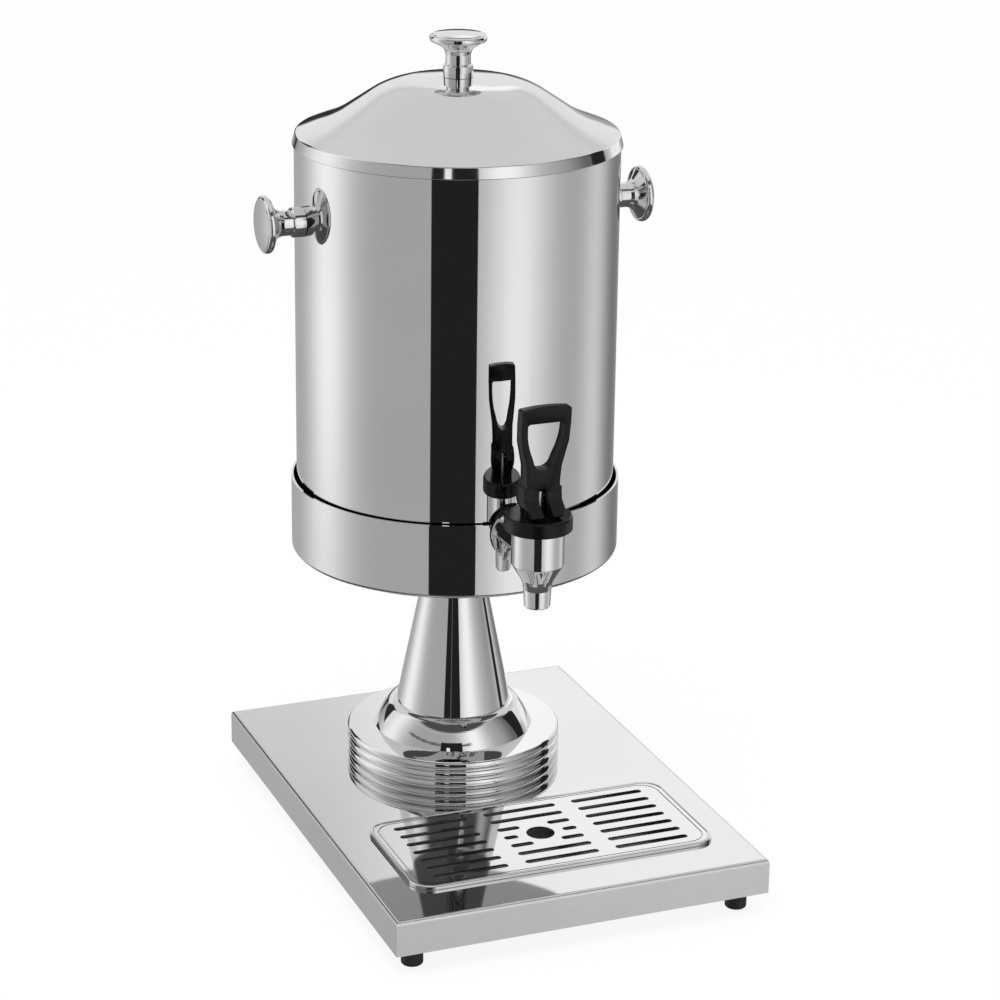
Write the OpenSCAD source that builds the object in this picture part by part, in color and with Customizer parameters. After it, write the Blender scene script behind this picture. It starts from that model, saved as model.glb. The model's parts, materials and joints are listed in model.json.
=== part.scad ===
// Milk dispenser: a steel urn with a lid and a self-closing tap, in a cup on a pedestal and base.
// Origin: centre of the base on the table. +Z is up, the tap faces -Y.

/* [Base] */
// Width of the base
base_w = 260; // [240:1:300]
// Depth of the base
base_d = 355; // [350:1:400]
// Height of the folded edge
base_h = 24; // [22:0.5:32]
// Thickness of the base sheet
base_sheet = 1.5; // [1:0.1:2]
// Outside radius of the folds
base_bend = 2.5; // [2.2:0.1:4]
// Width of the lip that is turned in below
lip_w = 27; // [25:1:36]

/* [Feet] */
// Diameter of a rubber foot
foot_d = 14.4; // [12:0.2:18]
// Height of a rubber foot
foot_h = 14; // [12:0.5:20]
// Centre of a foot from the side edge
foot_inset_x = 16; // [12:0.5:18]
// Centre of a foot from the front and back edges
foot_inset_y = 15.5; // [12:0.5:18]
// Diameter of the foot screws
foot_screw_d = 4; // [3:0.5:5]

/* [Pedestal] */
// Gap between the back of the cup and the back of the base
cup_behind = 0.3; // [0.2:0.1:10]
// Radius of the ribbed plinth
plinth_r = 75; // [70:0.5:80]
// Height of the ribbed plinth
plinth_h = 20; // [16:0.5:24]
// Number of rolled ribs
plinth_ribs = 3; // [2:1:4]
// Sheet thickness of plinth, foot and cone
stand_sheet = 1.5; // [1.2:0.1:2]
// Radius of the domed foot on the plinth
dome_r = 55.4; // [52:0.2:60]
// Height of the domed foot
dome_h = 25; // [22:0.5:28]
// Arc radius of the dome in section
dome_arc = 40; // [36:1:60]
// Height at which the cone stands in the dome
cone_seat = 16; // [12:0.5:18]
// Radius of the cone at its foot
cone_low_r = 40.3; // [38:0.1:42]
// Radius of the cone below the cup
cone_top_r = 16.7; // [15:0.1:24]
// Height of the cone
cone_h = 119; // [100:1:140]
// Diameter of the tie bolt
bolt_d = 10; // [8:1:12]

/* [Cup] */
// Gap between the urn and the cup
cup_gap = 2.2; // [1:0.1:3]
// Height of the cup
cup_h = 51.4; // [46:0.2:60]
// Sheet thickness of the cup
cup_sheet = 1.5; // [1:0.1:2]
// Radius of the cup's bottom edge
cup_edge = 3; // [2:0.5:5]
// Gap between the cooling pack and the inside of the urn
pack_gap = 15.8; // [8:0.2:30]
// Thickness of the cooling pack
pack_h = 13; // [10:0.5:14]

/* [Urn] */
// Outside radius of the urn
urn_r = 109; // [98:0.5:122]
// Height of the urn tube
urn_h = 286.3; // [250:0.1:310]
// Wall of the urn
urn_wall = 1.2; // [0.8:0.1:1.5]
// Height of the urn floor above the lower edge
floor_up = 23.3; // [22.5:0.1:24]
// Rise of the urn floor to its middle
floor_rise = 3; // [1:0.5:4]
// Height of the side knobs above the lower edge
handle_up = 235.3; // [200:1:250]

/* [Lid] */
// Gap between the urn and the lid's band
lid_gap = 0.3; // [0.25:0.05:1.5]
// Sheet thickness of the lid
lid_sheet = 0.8; // [0.6:0.1:0.9]
// Height of the straight part of the band
lid_band = 3.2; // [3:0.1:8]
// Arc radius of the band's shoulder
lid_shoulder = 6; // [5:0.5:8]
// Slope of the outer slant, degrees
lid_low_slope = 21.5; // [18:0.5:25]
// Slope of the inner slant, degrees
lid_high_slope = 33.5; // [30:0.5:38]
// Distance of the hollow arc from the lid's edge
lid_waist_in = 18.1; // [14:0.1:22]
// Arc radius of the hollow between the slants
lid_hollow = 86; // [70:1:100]
// Distance of the crown's knuckle from the lid's edge
lid_knuckle_in = 50.7; // [48:0.1:54]
// Arc radius of the knuckle
lid_knuckle = 57; // [50:1:64]
// Arc radius of the crown
lid_crown = 320; // [280:5:400]

/* [Knobs] */
// Height of a knob
knob_h = 29.6; // [28:0.1:34]
// Radius of a knob's head
knob_r = 19.1; // [17:0.1:22]
// Radius of a knob's foot
knob_foot_r = 10.25; // [9.5:0.05:12]
// Radius of a knob's neck
knob_neck_r = 8.5; // [7.5:0.1:9]
// Diameter of the knob screws
knob_screw_d = 6; // [5:0.5:8]

/* [Tap] */
// Distance of the tap's axis in front of the urn's side
tap_reach = 41; // [37:0.5:47]
// Height of the shank above the urn's lower edge
shank_up = 42.3; // [42:0.1:44]
// Diameter of the shank
shank_d = 20; // [18:0.5:22]
// Bore of the shank
shank_bore = 14; // [10:0.5:15]
// Diameter of the neck behind the tap
neck_d = 26; // [24:0.5:27]
// Radius of the round flange
flange_r = 18; // [17:0.2:20]
// Thickness of the round flange
flange_t = 2.2; // [1.5:0.1:3]
// Radius of the outer gasket
gasket_r = 14; // [12.5:0.1:14.2]
// Radius of the tap barrel
barrel_r = 17.4; // [16.8:0.1:19]
// Length of the tap barrel below the bonnet
barrel_h = 25.5; // [24:0.5:30]
// Length of the nozzle below the barrel
nozzle_h = 28.3; // [24:0.5:36]
// Radius of the nozzle at its mouth
nozzle_r = 8.7; // [8:0.1:9.2]
// Radius of the outlet bore
outlet_r = 6.5; // [5:0.1:6.8]
// Radius of the valve chamber
chamber_r = 12.5; // [11.5:0.1:13]
// Radius of the black bonnet
bonnet_r = 22.3; // [21:0.1:25]
// Height of the black bonnet
bonnet_h = 10; // [9:0.5:13]
// Diameter of the valve stem
stem_d = 6; // [5:0.5:7]
// Turns of the valve spring
spring_turns = 6; // [4:1:8]
// Wire of the valve spring
spring_wire = 1.2; // [0.8:0.1:1.4]

/* [Lever] */
// Height of the lever pin above the bonnet
pin_up = 12.5; // [12:0.1:14]
// Diameter of the lever pin
pin_d = 3; // [2.5:0.5:4]
// Lift of the stem for each radian of pull
lift_per_radian = 9; // [8:0.5:10]
// Full pull of the lever, degrees
pull_angle = 32; // [24:1:34]
// Height of the lever above its pin
lever_h = 61.4; // [50:0.5:75]
// Width of the lever at its top
lever_top_w = 33; // [30:0.5:38]
// Width of the lever's waist
lever_waist_w = 23; // [22:0.5:25]
// Width of the lever's hub
lever_hub_w = 26; // [25.5:0.5:28]
// Radius of the lever's hub
lever_hub_r = 7.5; // [7:0.1:8]
// Lean of the lever to the front, at its top
lever_lean = 8; // [5:0.5:10]
// Thickness of the lever at its top
lever_top_t = 7; // [6:0.5:8]
// Width of the finger hole at its top
finger_w = 21.5; // [18:0.5:23]
// Height of the finger hole
finger_h = 29.3; // [24:0.5:32]
// Bar above the finger hole
finger_bar = 12.5; // [10:0.5:15]
// Width of the fork around the stem
fork_w = 9; // [8:0.5:10]

/* [Drip tray] */
// Width of the pan over its rim
pan_w = 214; // [206:1:224]
// Depth of the pan over its rim
pan_d = 102; // [100:1:110]
// Corner radius of the pan's rim
pan_corner = 15; // [12:0.5:18]
// Middle of the pan in front of the tap's axis
pan_ahead = 7; // [0:0.5:12]
// Sideways place of the pan in its cut-out
pan_shift = 2.5; // [-3:0.5:3]
// Depth of the pan below the base's top
pan_depth = 16; // [12:0.5:18]
// Height of the pan's rim above the base
pan_rim_h = 2.2; // [2:0.1:3]
// Width of the rim around the grille
pan_rim_w = 5.5; // [5:0.5:7]
// Sheet thickness of the pan
pan_sheet = 0.8; // [0.6:0.1:1]
// Thickness of the grille
grille_t = 1.2; // [1:0.1:1.5]
// Rows of slots
slot_rows = 7; // [5:1:7]
// Distance between the rows
slot_pitch = 12.45; // [11:0.05:12.6]
// Width of a slot
slot_w = 5; // [3:0.5:6]
// Length of a slot
slot_len = 52; // [46:1:56]
// Distance between the columns of slots
column_pitch = 64.2; // [60:0.2:66]
// Diameter of the round hole in the grille
drain_d = 19; // [15:1:22]
// Radius around the round hole that stays closed
drain_land = 16; // [14:0.5:18]

/* [Hidden] */

steel = "gainsboro";
polished = "silver";
black = [0.1, 0.1, 0.11];
smooth = 144;
fine = 64;

// Gaps between pieces: fixed together, turning or sliding, and lifted off
fixed_gap = 0.05;
running_gap = 0.06;
lift_gap = 0.3;
seat_gap = 0.15;
cut = 1;

// Sizes that follow from the urn and the base
urn_bore_r = urn_r - urn_wall;
urn_rim_r = 1.6;
cup_r = urn_r + cup_gap + cup_sheet;
pack_r = urn_bore_r - pack_gap;
lid_r = urn_r + lid_gap + lid_sheet;
lid_waist_r = lid_r - lid_waist_in;
lid_knuckle_r = lid_r - lid_knuckle_in;
urn_y = base_d / 2 - cup_behind - cup_r;
tap_y = urn_y - urn_r - tap_reach;
pan_y = tap_y - pan_ahead;

// Heights above the table
base_top = foot_h + base_h;
plinth_top = base_top + plinth_h;
cone_z = plinth_top + cone_seat;
cup_z = cone_z + cone_h;
cup_floor = cup_z + cup_sheet;
pack_z = cup_floor + stand_sheet;
urn_z = cup_floor + 0.2;
urn_top = urn_z + urn_h;
floor_z = urn_z + floor_up;
handle_z = urn_z + handle_up;
shank_z = urn_z + shank_up;

// Base fittings
feet = [for (x = [-1, 1], y = [-1, 1])
        [x * (base_w / 2 - foot_inset_x), y * (base_d / 2 - foot_inset_y)]];
foot_head_d = foot_screw_d * 1.9;
foot_head_h = foot_screw_d * 0.6;
foot_head_z = foot_h * 0.35;
foot_nut_h = foot_screw_d * 0.8;
bolt_hole_r = bolt_d / 2 + 0.3;
stiffener_w = 2 * plinth_r;
stiffener_t = 3;
tie_washer_t = 2;
tie_nut_h = bolt_d * 0.8;
tie_washer_z = base_top - base_sheet - stiffener_t - tie_washer_t;
bolt_end = 2;
bolt_head_r = bolt_d * 1.3;
bolt_head_h = 5;
cup_plate_r = 55;

// Lid outline, worked out from the band upwards; heights above the band's lower edge
shoulder_c = [lid_r - lid_shoulder, lid_band];
shoulder_p = on_arc(shoulder_c, lid_shoulder, lid_low_slope);
waist_p = [lid_waist_r, shoulder_p[1] + (shoulder_p[0] - lid_waist_r) * tan(lid_low_slope)];
hollow_c = waist_p + lid_hollow * [sin(lid_low_slope), cos(lid_low_slope)];
hollow_p = hollow_c - lid_hollow * [sin(lid_high_slope), cos(lid_high_slope)];
knuckle_p = [lid_knuckle_r, hollow_p[1] + (hollow_p[0] - lid_knuckle_r) * tan(lid_high_slope)];
knuckle_c = knuckle_p - lid_knuckle * [sin(lid_high_slope), cos(lid_high_slope)];
crown_slope = asin(knuckle_c[0] / (lid_crown - lid_knuckle));
crown_p = on_arc(knuckle_c, lid_knuckle, crown_slope);
crown_c = [0, crown_p[1] - lid_crown * cos(crown_slope)];
lid_h = crown_c[1] + lid_crown;
lid_z = urn_top - lid_seat_height();

// Knob and its screw
knob_hole = 16;
knob_screw_head_r = knob_screw_d * 0.9;
knob_screw_head_h = knob_screw_d * 0.55;
knob_washer_r = knob_screw_d * 1.1;
knob_washer_t = 1.2;

// Tap, heights above the table and places along the shank
barrel_top = shank_z + 16.5;
barrel_z = barrel_top - barrel_h;
nozzle_z = barrel_z - nozzle_h;
bonnet_top = barrel_top + bonnet_h;
cap_t = 4.5;
seal_t = 1;
neck_top = bonnet_top - cap_t - seal_t;
thread_r = barrel_r - 1.9;
chamber_z = shank_z - chamber_r + 2.5;
seat_h = 1;
seat_z = chamber_z + seat_h;
flange_back = urn_y - cup_r - 0.5;
flange_front = flange_back - flange_t;
inner_gasket_y = urn_y - urn_bore_r + 3.3;
shank_washer_t = 2;
shank_nut_t = 7;
shank_end = inner_gasket_y + shank_washer_t + shank_nut_t + 1.5;
shank_nut_r = shank_d * 0.78;
cup_h_valve = 9.5;
valve_plate = 1.6;
spring_low = seat_z + lift_gap + cup_h_valve + valve_plate;
spring_high = neck_top + seal_t;
spring_r = 6.5;
pin_z = bonnet_top + pin_up;
stem_hole_r = stem_d / 2 + 0.35;

// Drip tray
pan_at = [pan_shift, pan_y];
grille_w = pan_w - 2 * pan_rim_w - 1;
grille_d = pan_d - 2 * pan_rim_w + 1;
grille_z = base_top + pan_rim_h - grille_t;
ledge_w = 4.5;
well_w = pan_w - 2 * pan_rim_w - 2 * ledge_w;
well_d = pan_d - 2 * pan_rim_w + 2 - 2 * ledge_w;
well_corner = pan_corner - pan_rim_w - ledge_w + 3;
cutout_gap = 3.4;

function on_arc(c, r, slope) = c + r * [sin(slope), cos(slope)];

// Height of the urn's top above the band's lower edge, with the round rim in the lid's shoulder
function lid_seat_height() =
    let (apart = lid_shoulder - lid_sheet - urn_rim_r - seat_gap,
         reach = urn_r - urn_rim_r - shoulder_c[0])
    lid_band + urn_rim_r + sqrt(apart * apart - reach * reach);

module round_rect(w, d, r) {
    square([w - 2 * r, d], center = true);
    square([w, d - 2 * r], center = true);
    for (x = [-1, 1], y = [-1, 1])
        translate([x * (w / 2 - r), y * (d / 2 - r)]) circle(r, $fn = fine);
}

// A section that is rounded at its two upper corners
module round_top(w, h, r) {
    translate([-w / 2, 0]) square([w, h - r]);
    translate([-w / 2 + r, 0]) square([w - 2 * r, h]);
    for (x = [-1, 1])
        translate([x * (w / 2 - r), h - r]) circle(r, $fn = fine);
}

// A box with folded upper edges
module folded_box(w, d, h, r) {
    intersection() {
        translate([0, d / 2, 0]) rotate([90, 0, 0]) linear_extrude(d) round_top(w, h, r);
        rotate([90, 0, 90]) translate([0, 0, -w / 2]) linear_extrude(w) round_top(d, h, r);
    }
}

module at_feet() {
    for (p = feet)
        translate([p[0], p[1], 0]) children();
}

module at_urn() {
    translate([0, urn_y, 0]) children();
}

module at_tap() {
    translate([0, tap_y, 0]) children();
}

// Along +Y from the given place, at the height of the shank
module along_shank(y) {
    translate([0, y, shank_z]) rotate([-90, 0, 0]) children();
}

module base_plate() {
    color(steel) difference() {
        translate([0, 0, foot_h]) folded_box(base_w, base_d, base_h, base_bend);
        translate([0, 0, foot_h + base_sheet])
            folded_box(base_w - 2 * base_sheet, base_d - 2 * base_sheet, base_h - 2 * base_sheet,
                       base_bend - base_sheet);
        translate([0, 0, foot_h - cut])
            linear_extrude(base_sheet + 2 * cut) round_rect(base_w - 2 * lip_w, base_d - 2 * lip_w, 6);
        translate([0, pan_y, base_top - base_sheet - cut])
            linear_extrude(base_sheet + 2 * cut)
                round_rect(well_w + 2 * cutout_gap, well_d + 2 * cutout_gap, well_corner + cutout_gap);
        at_urn() translate([0, 0, base_top - base_sheet - cut])
            cylinder(base_sheet + 2 * cut, r = bolt_hole_r, $fn = fine);
        at_feet() translate([0, 0, foot_h - cut])
            cylinder(base_sheet + 2 * cut, d = foot_screw_d + 0.4, $fn = fine);
    }
}

module base_stiffener() {
    color(steel) at_urn() translate([0, 0, base_top - base_sheet - stiffener_t])
        difference() {
            linear_extrude(stiffener_t) round_rect(stiffener_w, stiffener_w, 10);
            translate([0, 0, -cut]) cylinder(stiffener_t + 2 * cut, r = bolt_hole_r, $fn = fine);
        }
}

module rubber_feet() {
    edge = 1.5;
    color(black) at_feet() difference() {
        union() {
            translate([0, 0, edge]) cylinder(foot_h - edge, d = foot_d, $fn = fine);
            cylinder(edge, d = foot_d - 2 * edge, $fn = fine);
            translate([0, 0, edge]) rotate_extrude($fn = fine)
                intersection() {
                    translate([foot_d / 2 - edge, 0]) circle(edge, $fn = fine);
                    translate([0, -edge]) square([foot_d, edge]);
                }
        }
        translate([0, 0, -cut]) cylinder(foot_head_z + cut, d = foot_head_d + 0.2, $fn = fine);
        cylinder(foot_h + cut, d = foot_screw_d + 2 * fixed_gap, $fn = fine);
    }
}

module feet_screws() {
    head_z = foot_head_z - foot_head_h;
    color(polished) at_feet() {
        translate([0, 0, head_z]) cylinder(foot_head_h, d = foot_head_d, $fn = fine);
        translate([0, 0, foot_head_z])
            cylinder(foot_h + base_sheet + foot_nut_h + 1 - foot_head_z, d = foot_screw_d, $fn = fine);
    }
}

module feet_nuts() {
    color(polished) at_feet() translate([0, 0, foot_h + base_sheet])
        difference() {
            cylinder(foot_nut_h, d = foot_screw_d * 2, $fn = 6);
            translate([0, 0, -cut])
                cylinder(foot_nut_h + 2 * cut, d = foot_screw_d + 2 * fixed_gap, $fn = fine);
        }
}

// Rolled ribs stacked up the side of the plinth
module rib_section(inset) {
    pitch = plinth_h / plinth_ribs;
    bulge = pitch * 0.62;
    square([plinth_r - bulge - inset, plinth_h - inset]);
    intersection() {
        union() {
            for (i = [0:plinth_ribs - 1])
                translate([plinth_r - bulge, pitch * (i + 0.5)]) circle(bulge - inset, $fn = fine);
            translate([0, 0]) square([plinth_r - bulge * 0.55 - inset, plinth_h - inset]);
        }
        square([plinth_r, plinth_h - inset]);
    }
}

module plinth_ring() {
    color(polished) at_urn() translate([0, 0, base_top]) difference() {
        rotate_extrude($fn = smooth) difference() {
            rib_section(0);
            rib_section(stand_sheet);
        }
        translate([0, 0, -cut]) cylinder(plinth_h + 2 * cut, r = bolt_hole_r, $fn = fine);
    }
}

// Centre of the arc through two points, on the side of the axis
function arc_centre(p, q, r) =
    let (m = (p + q) / 2, d = q - p, half = norm(d) / 2, n = [-d[1], d[0]] / norm(d))
    m + n * sqrt(r * r - half * half);

module pedestal_foot() {
    crest_r = cone_low_r + 0.6;
    c = arc_centre([dome_r, 0], [crest_r, dome_h], dome_arc);
    color(polished) at_urn() translate([0, 0, plinth_top]) rotate_extrude($fn = smooth)
        difference() {
            intersection() {
                translate(c) circle(dome_arc, $fn = smooth);
                translate([bolt_hole_r, 0]) square([dome_r, dome_h + cut]);
            }
            intersection() {
                translate(c) circle(dome_arc - stand_sheet, $fn = smooth);
                translate([0, -cut]) square([dome_r, cone_seat - stand_sheet + cut]);
            }
            translate([0, cone_seat]) square([cone_low_r + 0.4, dome_h]);
        }
}

module pedestal_cone() {
    lean = (cone_low_r - cone_top_r) / cone_h;
    top_in = cone_top_r + lean * stand_sheet - stand_sheet;
    color(polished) at_urn() translate([0, 0, cone_z]) rotate_extrude($fn = smooth)
        polygon([[cone_low_r, 0], [cone_top_r, cone_h], [bolt_hole_r, cone_h],
                 [bolt_hole_r, cone_h - stand_sheet], [top_in, cone_h - stand_sheet],
                 [cone_low_r - stand_sheet, 0]]);
}

// A cup in section, filled, with a round lower edge
module cup_section(r, h, edge) {
    translate([0, edge]) square([r, h - edge]);
    square([r - edge, edge + cut]);
    translate([r - edge, edge]) circle(edge, $fn = fine);
}

module collar_cup() {
    notch_r = gasket_r + 1.2;
    color(polished) at_urn() difference() {
        translate([0, 0, cup_z]) rotate_extrude($fn = smooth) difference() {
            cup_section(cup_r, cup_h, cup_edge);
            translate([0, cup_sheet])
                cup_section(cup_r - cup_sheet, cup_h, max(cup_edge - cup_sheet, 0.5));
        }
        translate([0, 0, cup_z - cut]) cylinder(cup_sheet + 2 * cut, r = bolt_hole_r, $fn = fine);
        translate([0, -cup_r - cut, shank_z]) rotate([-90, 0, 0]) {
            cylinder(cup_sheet * 2 + cut + 3, r = notch_r, $fn = fine);
            translate([-notch_r, -cup_h, 0]) cube([2 * notch_r, cup_h, cup_sheet * 2 + cut + 3]);
        }
    }
}

module cup_stiffener() {
    color(steel) at_urn() translate([0, 0, cup_floor]) difference() {
        cylinder(stand_sheet, r = cup_plate_r, $fn = smooth);
        translate([0, 0, -cut]) cylinder(stand_sheet + 2 * cut, r = bolt_hole_r, $fn = fine);
    }
}

module tie_bolt() {
    low = tie_washer_z - tie_nut_h - bolt_end;
    dome = (bolt_head_r * bolt_head_r + bolt_head_h * bolt_head_h) / (2 * bolt_head_h);
    color(polished) at_urn() {
        translate([0, 0, low]) cylinder(pack_z - low, d = bolt_d, $fn = fine);
        translate([0, 0, pack_z]) rotate_extrude($fn = fine) intersection() {
            translate([0, bolt_head_h - dome]) circle(dome, $fn = smooth);
            square([bolt_head_r, bolt_head_h]);
        }
    }
}

module tie_washer() {
    color(polished) at_urn() translate([0, 0, tie_washer_z]) difference() {
        cylinder(tie_washer_t, d = bolt_d * 3, $fn = fine);
        translate([0, 0, -cut]) cylinder(tie_washer_t + 2 * cut, r = bolt_hole_r, $fn = fine);
    }
}

module tie_nut() {
    color(polished) at_urn() translate([0, 0, tie_washer_z - tie_nut_h]) difference() {
        cylinder(tie_nut_h, d = bolt_d * 1.95, $fn = 6);
        translate([0, 0, -cut]) cylinder(tie_nut_h + 2 * cut, d = bolt_d + 2 * fixed_gap, $fn = fine);
    }
}

module cooling_pack() {
    edge = pack_h / 2 - 1;
    color("lightskyblue") at_urn() translate([0, 0, pack_z]) rotate_extrude($fn = smooth)
        difference() {
            union() {
                square([pack_r - edge, pack_h]);
                translate([pack_r - edge, edge]) circle(edge, $fn = fine);
                translate([pack_r - edge, pack_h - edge]) circle(edge, $fn = fine);
                translate([0, edge]) square([pack_r, pack_h - 2 * edge]);
            }
            square([bolt_head_r + 2, bolt_head_h + 1.5]);
        }
}

module drip_pan() {
    rim = pan_rim_h - pan_sheet;
    color(polished) translate([pan_at[0], pan_at[1], base_top]) difference() {
        union() {
            linear_extrude(pan_rim_h) round_rect(pan_w, pan_d, pan_corner);
            translate([0, 0, -pan_depth]) linear_extrude(pan_depth + cut)
                round_rect(well_w, well_d, well_corner);
        }
        difference() {
            translate([0, 0, -cut]) linear_extrude(rim + cut)
                round_rect(pan_w - 2 * pan_sheet, pan_d - 2 * pan_sheet, pan_corner - pan_sheet);
            translate([0, 0, -2 * cut]) linear_extrude(rim + 3 * cut)
                round_rect(well_w + 2 * ledge_w + 2 * pan_sheet + 0.6,
                           well_d + 2 * ledge_w + 2 * pan_sheet + 0.6, well_corner + ledge_w + pan_sheet);
        }
        translate([0, 0, grille_z - base_top - 0.1]) linear_extrude(pan_rim_h)
            round_rect(well_w + 2 * ledge_w + 0.6, well_d + 2 * ledge_w + 0.6, well_corner + ledge_w);
        translate([0, 0, pan_sheet - pan_depth]) linear_extrude(pan_depth + pan_rim_h)
            round_rect(well_w - 2 * pan_sheet, well_d - 2 * pan_sheet, well_corner - pan_sheet);
    }
}

module slot(x0, x1, y) {
    translate([x0 + slot_w / 2, y - slot_w / 2]) square([x1 - x0 - slot_w, slot_w]);
    for (x = [x0 + slot_w / 2, x1 - slot_w / 2])
        translate([x, y]) circle(d = slot_w, $fn = fine);
}

module drip_grille() {
    color(polished) translate([pan_at[0], pan_at[1], grille_z]) linear_extrude(grille_t)
        difference() {
            round_rect(grille_w, grille_d, well_corner + ledge_w - 0.5);
            circle(d = drain_d, $fn = fine);
            for (i = [0:slot_rows - 1]) {
                y = (i - (slot_rows - 1) / 2) * slot_pitch;
                near = abs(y) < drain_land ? sqrt(drain_land * drain_land - y * y) : 0;
                for (side = [-1, 1])
                    slot(side * column_pitch - slot_len / 2, side * column_pitch + slot_len / 2, y);
                if (near == 0) slot(-slot_len / 2, slot_len / 2, y);
                else for (side = [-1, 1])
                    slot(min(side * near, side * slot_len / 2), max(side * near, side * slot_len / 2), y);
            }
        }
}

module urn_body() {
    color(polished) at_urn() difference() {
        rotate_extrude($fn = smooth) {
            translate([urn_bore_r, urn_z]) square([urn_wall, urn_h - urn_rim_r]);
            translate([urn_r - urn_rim_r, urn_top - urn_rim_r]) circle(urn_rim_r, $fn = fine);
        }
        translate([0, 0, shank_z]) rotate([90, 0, 0])
            cylinder(urn_r + cut, d = shank_d + 0.4, $fn = fine);
        translate([-urn_r - cut, 0, handle_z]) rotate([0, 90, 0])
            cylinder(2 * (urn_r + cut), d = knob_screw_d + 0.4, $fn = fine);
    }
}

module urn_floor() {
    flange = 10;
    r = urn_bore_r;
    color(steel) at_urn() translate([0, 0, floor_z]) rotate_extrude($fn = smooth)
        polygon([[0, floor_rise], [r, 0], [r, -flange], [r - urn_wall, -flange],
                 [r - urn_wall, -urn_wall], [0, floor_rise - urn_wall]]);
}

// Turned knob along +Z, standing on z = 0
module knob() {
    head_z = knob_h - 6.6;
    dome = 115;
    edge = 2.2;
    difference() {
        rotate_extrude($fn = smooth) {
            polygon([[0, 0], [knob_foot_r, 0], [knob_foot_r, 6], [knob_foot_r - 0.9, 6.6],
                     [knob_neck_r, knob_h - 16], [knob_neck_r, knob_h - 12.2],
                     [knob_neck_r + 0.5, knob_h - 10.4], [knob_neck_r + 1.9, knob_h - 8.8],
                     [knob_r - edge, head_z], [0, head_z]]);
            intersection() {
                union() {
                    translate([0, head_z]) square([knob_r - edge, 6.6]);
                    translate([knob_r - edge, head_z + edge]) circle(edge, $fn = fine);
                    translate([knob_r - edge, knob_h - 1.6 - edge]) circle(edge, $fn = fine);
                    translate([0, head_z + edge]) square([knob_r, 5 - 2 * edge]);
                }
                translate([0, knob_h - dome]) circle(dome, $fn = 360);
                square([knob_r + cut, knob_h]);
            }
        }
        translate([0, 0, -cut]) cylinder(knob_hole + cut, d = knob_screw_d + 2 * fixed_gap, $fn = fine);
    }
}

// Screw along +Z with its head's upper face on z = 0
module knob_screw(length) {
    cylinder(length, d = knob_screw_d, $fn = fine);
    translate([0, 0, -knob_screw_head_h])
        cylinder(knob_screw_head_h, r = knob_screw_head_r, $fn = fine);
}

module knob_washer() {
    difference() {
        cylinder(knob_washer_t, r = knob_washer_r, $fn = fine);
        translate([0, 0, -cut])
            cylinder(knob_washer_t + 2 * cut, d = knob_screw_d + 2 * fixed_gap, $fn = fine);
    }
}

// Along the outward axis of a side knob, from the given distance
module at_handle(side, r) {
    translate([side * r, urn_y, handle_z]) rotate([0, side * 90, 0]) children();
}

module handle_left() {
    color(polished) at_handle(-1, urn_r) knob();
}

module handle_right() {
    color(polished) at_handle(1, urn_r) knob();
}

// A flat washer touches the tube where its edge is widest
handle_washer_in = sqrt(urn_bore_r * urn_bore_r - knob_washer_r * knob_washer_r) - knob_washer_t;

module handle_screws() {
    reach = urn_r + knob_hole - 1 - handle_washer_in;
    color(steel) for (side = [-1, 1])
        at_handle(side, handle_washer_in) knob_screw(reach);
}

module handle_washers() {
    color(steel) for (side = [-1, 1])
        at_handle(side, handle_washer_in) knob_washer();
}

// Outline of nozzle and barrel in section, heights above the nozzle's mouth
module tap_section() {
    shoulder_z = nozzle_h - 9.5;
    swell = 9.5;
    polygon([[0, 0], [nozzle_r - 0.8, 0], [nozzle_r, 1], [nozzle_r + 0.5, nozzle_h - 17],
             [nozzle_r + 2.2, shoulder_z], [0, shoulder_z]]);
    difference() {
        translate([0, shoulder_z]) square([barrel_r, swell + 0.01]);
        translate([nozzle_r + 2.2, shoulder_z - cut]) square([barrel_r, cut]);
        translate(arc_centre([nozzle_r + 2.2, shoulder_z], [barrel_r, nozzle_h], 14))
            difference() {
                circle(40, $fn = 24);
                circle(14, $fn = smooth);
            }
    }
    translate([0, nozzle_h]) square([barrel_r, barrel_h]);
    translate([0, nozzle_h]) square([thread_r, neck_top - barrel_z]);
}

module tap_body() {
    color(polished) difference() {
        union() {
            at_tap() translate([0, 0, nozzle_z]) rotate_extrude($fn = smooth)
                intersection() {
                    union() {
                        tap_section();
                    }
                    square([barrel_r, neck_top - nozzle_z]);
                }
            along_shank(tap_y) cylinder(flange_front - tap_y, d = neck_d, $fn = fine);
            along_shank(tap_y) cylinder(shank_end - tap_y, d = shank_d, $fn = fine);
        }
        at_tap() {
            translate([0, 0, nozzle_z - cut]) cylinder(seat_z - nozzle_z + cut, r = outlet_r, $fn = fine);
            translate([0, 0, seat_z]) cylinder(neck_top - seat_z + cut, r = chamber_r, $fn = fine);
            translate([0, 0, chamber_z]) difference() {
                cylinder(seat_h + cut, r = chamber_r, $fn = fine);
                translate([0, 0, -cut]) cylinder(seat_h + cut, r = outlet_r + 1.5, $fn = fine);
            }
        }
        along_shank(tap_y) cylinder(shank_end - tap_y + cut, d = shank_bore, $fn = fine);
    }
}

module tap_flange() {
    color(polished) difference() {
        along_shank(flange_front) cylinder(flange_t, r = flange_r, $fn = smooth);
        along_shank(flange_front - cut)
            cylinder(flange_t + 2 * cut, d = shank_d + 2 * fixed_gap, $fn = fine);
    }
}

module tap_gasket() {
    color(black) difference() {
        along_shank(flange_back) cylinder(cup_r - urn_r + 3, r = gasket_r, $fn = fine);
        along_shank(flange_back - cut)
            cylinder(cup_r - urn_r + 3 + 2 * cut, d = shank_d + 2 * fixed_gap, $fn = fine);
        at_urn() translate([0, 0, shank_z - 2 * gasket_r])
            cylinder(4 * gasket_r, r = urn_r, $fn = smooth);
    }
}

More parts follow.
